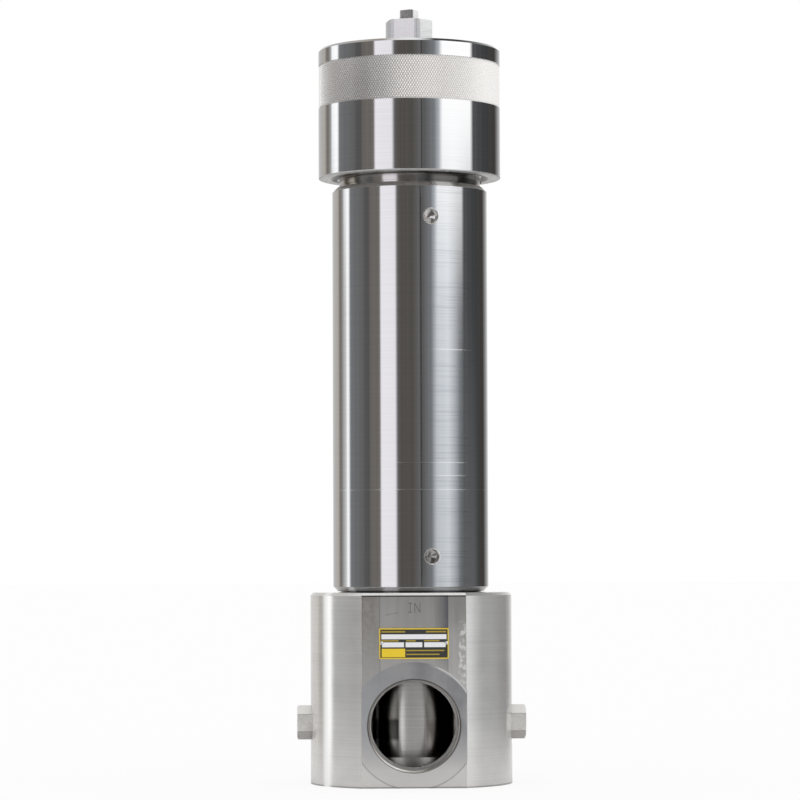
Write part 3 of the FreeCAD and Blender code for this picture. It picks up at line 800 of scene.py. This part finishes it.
# Painted shade just within the mouth.
bore = both(
    stripe(from_port, BORE_RADIUS, 1.1, 0.3),
    map_range(from_axis, POCKET_RADIUS - 0.2, POCKET_RADIUS + 0.1),
    map_range(from_middle, FLAT_DEPTH - 2.0, FLAT_DEPTH - 2.4),
    map_range(from_middle, 42.0, 54.0, 0.10, 0.85))
tone = paint(
    tone,
    (bore, (0.20, 0.19, 0.18)),
    (mouth, ring_tone),
    (mouth_line, (0.12, 0.11, 0.10), 0.8))
print("port mouth", 2 * MOUTH_RADIUS, "mm across")

# %% [markdown]
# The flat's top edge is broken and carries a painted highlight, with a dark line beneath it. One upright
# strip of the block's left side has a painted highlight. Through the port the post shows painted light and
# shade: pale in front, darker at its sides, in a patch on its left and low down. The pocket's wall is painted
# nearly black as shade.

# %% Edges, side and post of the block
TOP_EDGE = 1.5
LIT_SIDE_AT = -57.5
POST_LIT_HALF = 9.5
POST_SHADE = (38.0, 6.0)

# Painted highlight on the flat's broken top edge.
top_edge = both(on_flat, map_range(z, block_top - TOP_EDGE - 0.2, block_top - TOP_EDGE + 0.2))
edge_line = both(on_flat, stripe(z, block_top - TOP_EDGE - 0.6, 0.35, 0.25))
off_flat = math_node("SUBTRACT", 1.0, on_flat)
# Painted highlight on one upright strip of the left side.
lit_side = both(off_flat, stripe(bearing(x, y), LIT_SIDE_AT, 1.5, 3.5))
post_lines = tool_marks(point, (0.02, 0.02, 1.8), 4.0)
post_tone = mix_colour(map_range(post_lines, 0.35, 0.65), (0.73, 0.72, 0.70), (0.83, 0.81, 0.79))
# Painted shade on the post's sides, in a patch on its left and low down.
post_side = map_range(math_node("ABSOLUTE", x), POST_LIT_HALF - 0.3, POST_LIT_HALF + 0.6)
post_shade = both(post_side, map_range(x, 0.0, -1.0), stripe(z, *POST_SHADE, 2.5))
post_tone = paint(
    post_tone,
    (post_side, (0.32, 0.30, 0.28), 0.6),
    (post_shade, grey(0.06), 0.9),
    (map_range(z, 25.0, 20.0), (0.20, 0.19, 0.18), 0.6))
# The pocket's wall is painted nearly black as shade.
tone = paint(
    tone,
    (top_edge, (0.95, 0.94, 0.92)),
    (edge_line, grey(0.06), 0.9),
    (lit_side, (1.0, 1.0, 0.99)),
    (post, post_tone),
    (pocket_wall, (0.06, 0.055, 0.05)))
print("lit strip at", LIT_SIDE_AT, "degrees")

# %% [markdown]
# The flats are rougher than the turned sides. Where a place has to look pale from every side, as the scuffs
# do and the painted highlights on the spotface's arc and the broken top edge, the metal mirrors less and its
# own colour shows more.

# %% Roughness of the block
side_rough = map_range(marks, 0.3, 0.7, 0.19, 0.22)
flat_rough = map_range(marks, 0.3, 0.7, 0.30, 0.38)
rough = blend(side_rough, (on_flat, flat_rough), (post, 0.32))
metal = blend(
    0.64, (on_flat, 0.85), (either(pocket_wall, post), 1.0), (lit_side, 0.40), (floor_light_on_flat, 0.78),
    (either(scuffs, arc_highlight), 0.62), (top_edge, 0.3))
dress(shader, tone, rough, metal)
wear(block_steel, "base_block")

# %% [markdown]
# Small parts are plain machined metal with the faint specks that handling leaves. The valve's body and its
# retainer are aluminium, and the rest are steel. Each row below is a finish with its colour, its roughness,
# how many specks go to a millimetre, and the pieces that wear it.

# %% Small machined parts
SMALL_PARTS = [
    ("nozzle_steel", grey(0.55), 0.28, 1.1, ["outlet_nozzle"]),
    ("rivet_steel", grey(0.80), 0.22, 1.5, ["nameplate_rivets"]),
    ("valve_steel", (0.56, 0.56, 0.57), 0.22, 1.2, ["bypass_poppet"]),
    ("valve_aluminium", (0.72, 0.72, 0.74), 0.30, 1.2, ["bypass_body", "bypass_retainer"]),
]


def machined(name, colour, roughness, speck, metallic=0.9):
    """Plain machined metal with fine specks and a soft drift of tone."""
    material, shader = new_finish(name, colour, metallic, roughness)
    point = place(shader)[0]
    specks = tool_marks(point, (speck, speck, speck), 5.0)
    drift = tool_marks(point, (0.08, 0.08, 0.08), 2.0)
    dark = tuple(part * 0.86 for part in colour)
    light = tuple(min(part * 1.12, 1.0) for part in colour)
    pattern = add_up(math_node("MULTIPLY", drift, 0.5), (specks, 0.5))
    tone = mix_colour(map_range(pattern, 0.38, 0.62), dark, light)
    rough = map_range(specks, 0.3, 0.7, roughness * 0.8, roughness * 1.3)
    dress(shader, tone, rough)
    bump(specks, 0.004, shader)
    return material, shader, tone


for name, colour, roughness, speck, node_names in SMALL_PARTS:
    wear(machined(name, colour, roughness, speck)[0], *node_names)

# %% [markdown]
# The side plugs have hexagon heads. Their upper facets are painted paler and their lower ones darker, as
# light and shade, and a dark line runs along the edges between. Two faces of the vent plug's square carry a
# painted highlight and are nearly white.

# %% Side plugs and vent plug
PLUG_FACET = 5.95
VENT_HALF = 4.75
VENT_FACE = 61.0

plug_steel, shader, tone = machined("plug_steel", (0.72, 0.70, 0.675), 0.34, 0.9, 0.35)
above_axis = math_node("SUBTRACT", place(shader)[3], PORT_HEIGHT)
# Painted light on the upper facets, painted shade on the lower ones.
lit_upper_facet = map_range(above_axis, PLUG_FACET - 0.2, PLUG_FACET + 0.2)
shaded_lower_facet = map_range(above_axis, -PLUG_FACET + 0.2, -PLUG_FACET - 0.2)
facet_edge = stripe(math_node("ABSOLUTE", above_axis), PLUG_FACET, 0.15, 0.35)
dress(shader, paint(
    tone,
    (lit_upper_facet, (0.84, 0.82, 0.80)),
    (shaded_lower_facet, (0.48, 0.46, 0.44)),
    (facet_edge, (0.30, 0.28, 0.26), 0.6)))
wear(plug_steel, "gauge_plug_left", "gauge_plug_right")

vent_steel, shader, tone = machined("vent_steel", (0.40, 0.39, 0.395), 0.28, 0.3, 0.5)
point, x, y, z = place(shader)
from_centre = math_node("ABSOLUTE", face_depth(x, y, VENT_FACE))
# Painted highlight on two faces of the vent plug's square.
painted_highlight_faces = map_range(from_centre, VENT_HALF - 0.3, VENT_HALF - 0.15)
dress(shader, paint(tone, (painted_highlight_faces, WHITE)), metal=blend(0.5, (painted_highlight_faces, 0.0)))
wear(vent_steel, "vent_plug")

# %% [markdown]
# Seals: nitrile rubber is black and dull with a fine moulded grain, and the backup rings beside it are cut
# from an off-white, slightly waxy plastic.

# %% Seals
seal_rubber, shader = new_finish("seal_rubber", (0.025, 0.025, 0.026), 0.0, 0.5)
grain = tool_marks(place(shader)[0], (2.0, 2.0, 2.0), 3.0)
tone = mix_colour(grain, (0.018, 0.018, 0.019), (0.034, 0.034, 0.035))
dress(shader, tone, map_range(grain, 0.3, 0.7, 0.42, 0.62))
bump(grain, 0.01, shader)
wear(seal_rubber, "gauge_o_ring_left", "gauge_o_ring_right", "nozzle_o_ring", "tube_o_ring", "cap_o_ring")

backup_plastic, shader = new_finish("backup_plastic", (0.86, 0.84, 0.78), 0.0, 0.4)
grain = tool_marks(place(shader)[0], (0.05, 0.05, 1.2), 3.0)
tone = mix_colour(grain, (0.80, 0.78, 0.71), (0.88, 0.86, 0.80))
dress(shader, tone, map_range(grain, 0.3, 0.7, 0.34, 0.48))
wear(backup_plastic, "tube_backup_ring", "cap_backup_ring")

# %% [markdown]
# Zinc plating freezes in soft patches, some bluish and some faintly yellow. A Voronoi texture gives the
# patches, blurred so that they read as plating on pressed sheet and not as galvanised roofing.

# %% Zinc-plated steel of the element
zinc_steel, shader = new_finish("zinc_steel", (0.66, 0.66, 0.64), 0.9, 0.3)
point = place(shader)[0]
cells = add_node("ShaderNodeTexVoronoi", point)
cells.feature = "SMOOTH_F1"
cells.inputs["Scale"].default_value = 0.22
patches = add_up(tool_marks(point, (0.1, 0.1, 0.1)), (cells.outputs["Distance"], 0.6))
plating = ramp_node(map_range(patches, 0.5, 1.1), [
    (0.0, (0.58, 0.61, 0.66)),
    (0.5, (0.66, 0.66, 0.64)),
    (1.0, (0.72, 0.69, 0.58)),
])
dress(shader, plating, map_range(patches, 0.5, 1.1, 0.22, 0.38))
wear(zinc_steel, "element_bottom_cap", "element_top_cap", "element_core")

# %% [markdown]
# The pleated sheet is layers of glass fibre held between fine wire mesh. Seen close, the mesh is a weave of
# thin wires, so two sets of fine waves cross: one up the pleats and one round them.

# %% Filter sheet
WIRES_PER_MM = 1.6

filter_sheet, shader = new_finish("filter_sheet", (0.80, 0.78, 0.70), 0.0, 0.7)
point, x, y, z = place(shader)
wire_turn = 2 * math.pi * WIRES_PER_MM
weave = math_node("MAXIMUM", *[
    math_node("SINE", math_node("MULTIPLY", measure, wire_turn))
    for measure in (z, distance(x, y))])
fibre = tool_marks(point, (0.5, 0.5, 0.5), 5.0)
sheet_tone = mix_colour(fibre, (0.74, 0.72, 0.62), (0.90, 0.88, 0.80))
wire_mask = map_range(weave, 0.55, 0.9)
tone = paint(sheet_tone, (wire_mask, (0.62, 0.62, 0.60)))
dress(shader, tone, blend(0.8, (wire_mask, 0.4)))
bump(weave, 0.05, shader)
wear(filter_sheet, "pleated_media")

# %% [markdown]
# The bypass spring is drawn wire. Drawing leaves it dark and smooth, with lines that follow the coil.

# %% Spring wire
spring_steel, shader = new_finish("spring_steel", (0.40, 0.40, 0.41), 1.0, 0.25)
drawn = tool_marks(place(shader)[0], (0.3, 0.3, 2.5), 3.0)
tone = mix_colour(drawn, (0.30, 0.30, 0.32), grey(0.50))
dress(shader, tone, map_range(drawn, 0.3, 0.7, 0.18, 0.34))
wear(spring_steel, "bypass_spring")

# %% [markdown]
# The nameplate is thin printed aluminium: a black ground inside a yellow line, with pale fields for figures
# to be stamped in, one yellow block, and thin plain bars where captions would be. Print has no thickness
# worth modelling, so the plate's own material draws it. Each field is a box in millimetres from the plate's
# centre, and nothing is written in any of them.

# %% Fields of the nameplate
PALE_FIELDS = [
    (0.0, 4.6, 22.0, 1.6),
    (-14.2, -0.8, 7.4, 1.6),
    (0.0, -0.8, 5.6, 1.6),
    (14.2, -0.8, 7.2, 1.6),
]
YELLOW_BLOCK = (-13.9, -6.3, 7.9, 2.8)
THIN_BARS = [
    (-14.0, 8.0, 8.0, 0.45),
    (15.0, 8.0, 6.8, 0.45),
    (-16.2, 1.9, 5.8, 0.4),
    (-2.0, 1.9, 3.2, 0.4),
    (12.0, 1.9, 5.2, 0.4),
    (7.7, -4.7, 12.9, 0.4),
    (6.0, -7.3, 11.2, 0.4),
]
plate_low, plate_high = low("nameplate"), high("nameplate")
plate_centre = (plate_low + plate_high) / 2
plate_half = (plate_high - plate_low) / 2
print("plate", round(2 * plate_half.x, 1), "by", round(2 * plate_half.z, 1), "mm")

# %% [markdown]
# One mask takes in all the pale fields, and another the border, the yellow block and the bars. Each ink is
# laid on through its mask, a little uneven as print is.

# %% Nameplate print
BORDER_WIDTH = 0.75

plate_enamel, shader = new_finish("nameplate_print", grey(0.05), 0.0, 0.35)
point, x, y, z = place(shader)
plate_x = math_node("SUBTRACT", x, plate_centre.x)
plate_z = math_node("SUBTRACT", z, plate_centre.z)


def field(centre_x, centre_z, half_x, half_z):
    """Mask of one upright box on the plate."""
    return both(stripe(plate_x, centre_x, half_x, 0.1), stripe(plate_z, centre_z, half_z, 0.1))


pale = either(*[field(*box) for box in PALE_FIELDS])
bars = either(*[field(*box) for box in THIN_BARS])
inside = field(0, 0, plate_half.x - BORDER_WIDTH, plate_half.z - BORDER_WIDTH)
border = math_node("SUBTRACT", 1.0, inside)
yellow = either(border, field(*YELLOW_BLOCK), math_node("MULTIPLY", bars, 0.45))
ink = tool_marks(point, (1.2, 1.2, 1.2), 4.0)
black_ink = mix_colour(ink, grey(0.030), (0.060, 0.058, 0.055))
yellow_ink = mix_colour(ink, (0.78, 0.55, 0.015), (0.88, 0.64, 0.03))
pale_ink = mix_colour(ink, (0.78, 0.78, 0.80), (0.88, 0.88, 0.90))
printed = paint(black_ink, (yellow, yellow_ink), (pale, pale_ink))
dress(shader, printed, map_range(ink, 0.3, 0.7, 0.28, 0.42))
bump(ink, 0.004, shader)
wear(plate_enamel, "nameplate")

# %% [markdown]
# New pieces start in a bmesh, Blender's mesh workshop. This helper turns a finished one into an object, gives
# it a finish, and lets it ride on the body that carries it on the real filter.

# %% From bmesh to piece
def finish_piece(name, bm, body, material, smooth=True):
    """Make a bmesh into a named piece that rides on a body."""
    bmesh.ops.recalc_face_normals(bm, faces=bm.faces)
    mesh = bpy.data.meshes.new(name)
    bm.to_mesh(mesh)
    bm.free()
    mesh.polygons.foreach_set("use_smooth", [smooth] * len(mesh.polygons))
    mesh.materials.append(material)
    piece = bpy.data.objects.new(name, mesh)
    bpy.context.scene.collection.objects.link(piece)
    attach(piece, body)
    print(name, "has", len(mesh.polygons), "faces")
    return piece


print("piece helper ready")

# %% [markdown]
# The knurl is a band of small raised diamonds, rolled into the cap so that a hand can grip it. Its crests
# carry painted highlights and its ditches painted shade; the band is painted darker as shade on the front
# left, and paler as light on the right. Two sets of slanting waves, one each way, tell the shader where the
# crests are.

# %% Finish of the knurl
KNURL_FOOT = 468.8
KNURL_TOP = 498.9
KNURL_ROOT = 62.72
KNURL_CREST = 63.2
DIAMOND_WIDTH = 1.81
DIAMOND_HEIGHT = 3.05
KNURL_SHADE_AT = -38
KNURL_LIGHT_AT = 85

knurl_height = KNURL_TOP - KNURL_FOOT
diamonds = round(math.pi * 2 * KNURL_CREST / DIAMOND_WIDTH)
rows = round(knurl_height / DIAMOND_HEIGHT)
knurl_steel, shader = new_finish("knurled_steel", (0.95, 0.93, 0.92), 0.3, 0.26)
point, x, y, z = place(shader)
round_axis = bearing(x, y)
columns_round = math_node("MULTIPLY", round_axis, diamonds / 360)
rows_up = math_node("MULTIPLY", math_node("SUBTRACT", z, KNURL_FOOT), rows / knurl_height)
hills = []
for operation in ("ADD", "SUBTRACT"):
    slanting = math_node("MULTIPLY", math_node(operation, columns_round, rows_up), math.pi)
    hills.append(math_node("ABSOLUTE", math_node("SINE", slanting)))
crest = math_node("MINIMUM", *hills)
# Painted shade on the front left.
knurl_painted_shade = both(stripe(round_axis, KNURL_SHADE_AT, 8, 25), map_range(z, KNURL_TOP, KNURL_FOOT + 12, 0.8, 1.0))
# Painted light on the right.
knurl_painted_light = stripe(round_axis, KNURL_LIGHT_AT, 30, 60)
# Painted shade in the ditches, and painted highlights on the crests below.
ditch_painted_shade = mix_colour(knurl_painted_light, (0.33, 0.30, 0.285), (0.90, 0.88, 0.86))
crests_lit_ditches_shaded = mix_colour(map_range(crest, 0.10, 0.60), ditch_painted_shade, (1.0, 0.98, 0.96))
tone = paint(crests_lit_ditches_shaded, (knurl_painted_shade, (0.20, 0.19, 0.19), 0.62))
rough = map_range(crest, 0.0, 1.0, 0.36, 0.22)
dress(shader, tone, rough, blend(0.3, (knurl_painted_light, 0.0)))
print("knurl of", diamonds, "by", rows, "diamonds")

# %% [markdown]
# The band itself starts as a flat grid. Its corners are lifted in turn, like a chessboard, and each square is
# split along the ditch between two lifted corners. Then the sheet is wound round the cap, and its two ends
# are joined.

# %% Knurled band
bm = bmesh.new()
bmesh.ops.create_grid(bm, x_segments=2 * diamonds, y_segments=2 * rows, size=1.0)
for vertex in bm.verts:
    column = round((vertex.co.x + 1) * diamonds)
    row = round((vertex.co.y + 1) * rows)
    lifted = (column + row) % 2 == 1 and 0 < row < 2 * rows
    radius = KNURL_CREST if lifted else KNURL_ROOT
    angle = math.pi * column / diamonds
    height = KNURL_FOOT + knurl_height * row / (2 * rows)
    vertex.co = Vector((radius * math.sin(angle), -radius * math.cos(angle), height)) * MM
bmesh.ops.remove_doubles(bm, verts=bm.verts, dist=0.01 * MM)
bmesh.ops.triangulate(bm, faces=bm.faces, quad_method="SHORT_EDGE")
finish_piece("cap_knurl", bm, "cap", knurl_steel, smooth=False)

# %% [markdown]
# A screw thread is one ridge that climbs as it goes round. Spin does just this: it turns a small profile
# round the axis and lifts it a little at every step. The profile's half widths, at its root and its crest,
# are parts of the pitch.

# %% Thread helper
SPIN_STEPS = 60
HALF_ROOT = 0.36
HALF_CREST = 0.10


def thread(name, body, material, root, crest, pitch, start, turns, axis, centre=(0, 0, 0)):
    """Ridge of a thread, in millimetres, from a profile at the axis' start point."""
    along = Vector(axis)
    outward = Vector((1, 0, 0))
    middle = Vector(centre) + along * start
    profile = [(root, -HALF_ROOT), (crest, -HALF_CREST), (crest, HALF_CREST), (root, HALF_ROOT)]
    bm = bmesh.new()
    corners = []
    for radius, shift in profile:
        corners.append(bm.verts.new((middle + outward * radius + along * shift * pitch) * MM))
    face = bm.faces.new(corners)
    steps = round(SPIN_STEPS * turns)
    bmesh.ops.spin(
        bm, geom=[face, *face.edges, *corners], cent=middle * MM, axis=along,
        dvec=along * pitch * turns / steps * MM, angle=2 * math.pi * turns, steps=steps)
    return finish_piece(name, bm, body, material, smooth=False)


print("thread helper ready")

# %% [markdown]
# The neck's ridge shows in the gap under the cap, and all of it when the cap is off. The ports have a finer
# ridge that points inwards and stops a little short of the mouth.

# %% Screw threads
NECK_LEAD = 4.0
NECK_ROOT = 49.2
NECK_CREST = 50.3
NECK_FOOT = 417.6
NECK_END = 2.4
PORT_RADIUS = 30.65
PORT_PITCH = 25.4 / 12
PORT_TURNS = 7.0
PORT_END = 1.8
SPOTFACE_DEPTH = 0.25

neck_turns = (tube_top - NECK_END - NECK_FOOT) / NECK_LEAD
thread("neck_thread", "housing", turned_steel, NECK_ROOT, NECK_CREST, NECK_LEAD,
       NECK_FOOT, neck_turns, (0, 0, 1))
port_start = FLAT_DEPTH - SPOTFACE_DEPTH - PORT_END - PORT_PITCH * PORT_TURNS
for name, side in (("inlet_thread", -1), ("outlet_thread", 1)):
    thread(name, "housing", block_steel, PORT_RADIUS + 0.1, PORT_RADIUS - 0.45, PORT_PITCH,
           port_start, PORT_TURNS, (0, side, 0), (0, 0, PORT_HEIGHT))

# %% [markdown]
# The bypass spring is a coil of round wire between the retainer below and the poppet above. The poppet
# presses it together as it opens.

# %% Spring coil
COIL_RADIUS = 7.0
WIRE_RADIUS = 0.6
WIRE_SIDES = 10
COIL_TURNS = 4
COIL_STEPS = 36

coil_foot = low("bypass_spring").z
coil_length = high("bypass_spring").z - coil_foot
wire_rise = coil_length - 2 * WIRE_RADIUS
wire_start = Matrix.Translation(Vector((COIL_RADIUS, 0, coil_foot + WIRE_RADIUS)) * MM)
bm = bmesh.new()
bmesh.ops.create_circle(
    bm, cap_ends=True, segments=WIRE_SIDES, radius=WIRE_RADIUS * MM,
    matrix=wire_start @ Matrix.Rotation(math.pi / 2, 4, "X"))
coil_steps = COIL_STEPS * COIL_TURNS
bmesh.ops.spin(
    bm, geom=[*bm.verts, *bm.edges, *bm.faces], cent=(0, 0, 0), axis=(0, 0, 1),
    dvec=(0, 0, wire_rise / coil_steps * MM), angle=2 * math.pi * COIL_TURNS, steps=coil_steps)
spring_coil = finish_piece("bypass_spring_coil", bm, "housing", spring_steel)
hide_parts("bypass_spring")
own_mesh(spring_coil)

# %% [markdown]
# The two ports are marked with letter stamps. A stamp drives a narrow groove into the steel, and its upset
# edges shine while its floor is dark. The mark is drawn as thin bars, a hair proud of the flat and nearly
# black as painted shade, which is how such a fine groove reads from any distance. Each letter is strokes
# between points, in parts of its height.

# %% Stamped letters
LETTERS = {
    "I": [[(0.1, 0), (0.5, 0)], [(0.3, 0), (0.3, 1)], [(0.1, 1), (0.5, 1)]],
    "N": [[(0, 0), (0, 1), (0.6, 0), (0.6, 1)]],
    "O": [[
        (0.15, 0), (0.45, 0), (0.6, 0.2), (0.6, 0.8), (0.45, 1), (0.15, 1), (0, 0.8), (0, 0.2), (0.15, 0)]],
    "U": [[(0, 1), (0, 0.2), (0.15, 0), (0.45, 0), (0.6, 0.2), (0.6, 1)]],
    "T": [[(0, 1), (0.6, 1)], [(0.3, 0), (0.3, 1)]],
}
LETTER_WIDTH = 0.6
LETTER_STEP = 0.82

# The groove's dark colour is painted shade.
stamped, shader = new_finish("stamped_groove", (0.10, 0.095, 0.09), 0.6, 0.5)
groove_mottle = tool_marks(place(shader)[0], (1.6, 1.6, 1.6), 3.0)
dress(shader, mix_colour(groove_mottle, grey(0.05), (0.22, 0.21, 0.20)))
print("letters:", " ".join(LETTERS))

# %% [markdown]
# A word is built round the middle of the upright plane, one bar for each stroke, and then set on its flat.

# %% Stamped port marks
MARK_HEIGHT = 6.0
MARK_MIDDLE = 122.0
MARK_LINE = 0.32
MARK_PROUD = 0.03


def stamp_word(name, word, side):
    """Stamp a word on the front flat (side -1) or the back flat (side 1)."""
    bm = bmesh.new()
    width = LETTER_STEP * (len(word) - 1) + LETTER_WIDTH
    for place_in_word, letter in enumerate(word):
        corner = Vector((place_in_word * LETTER_STEP - width / 2, 0, -0.5))
        for path in LETTERS[letter]:
            points = [(Vector((across, 0, up)) + corner) * MARK_HEIGHT for across, up in path]
            for first, last in zip(points, points[1:]):
                run = last - first
                turn = Matrix.Rotation(-math.atan2(run.z, run.x), 4, "Y")
                size = Matrix.Diagonal((run.length + MARK_LINE, 2 * MARK_PROUD, MARK_LINE, 1))
                middle = Matrix.Translation((first + last) / 2)
                bmesh.ops.create_cube(bm, size=1.0, matrix=middle @ turn @ size)
    facing_out = Matrix.Rotation(0 if side < 0 else math.pi, 4, "Z")
    place_on_flat = Matrix.Translation((0, side * FLAT_DEPTH, MARK_MIDDLE))
    bm.transform(Matrix.Scale(MM, 4) @ place_on_flat @ facing_out)
    return finish_piece(name, bm, "housing", stamped, smooth=False)


stamp_word("inlet_mark", "IN", -1)
stamp_word("outlet_mark", "OUT", 1)
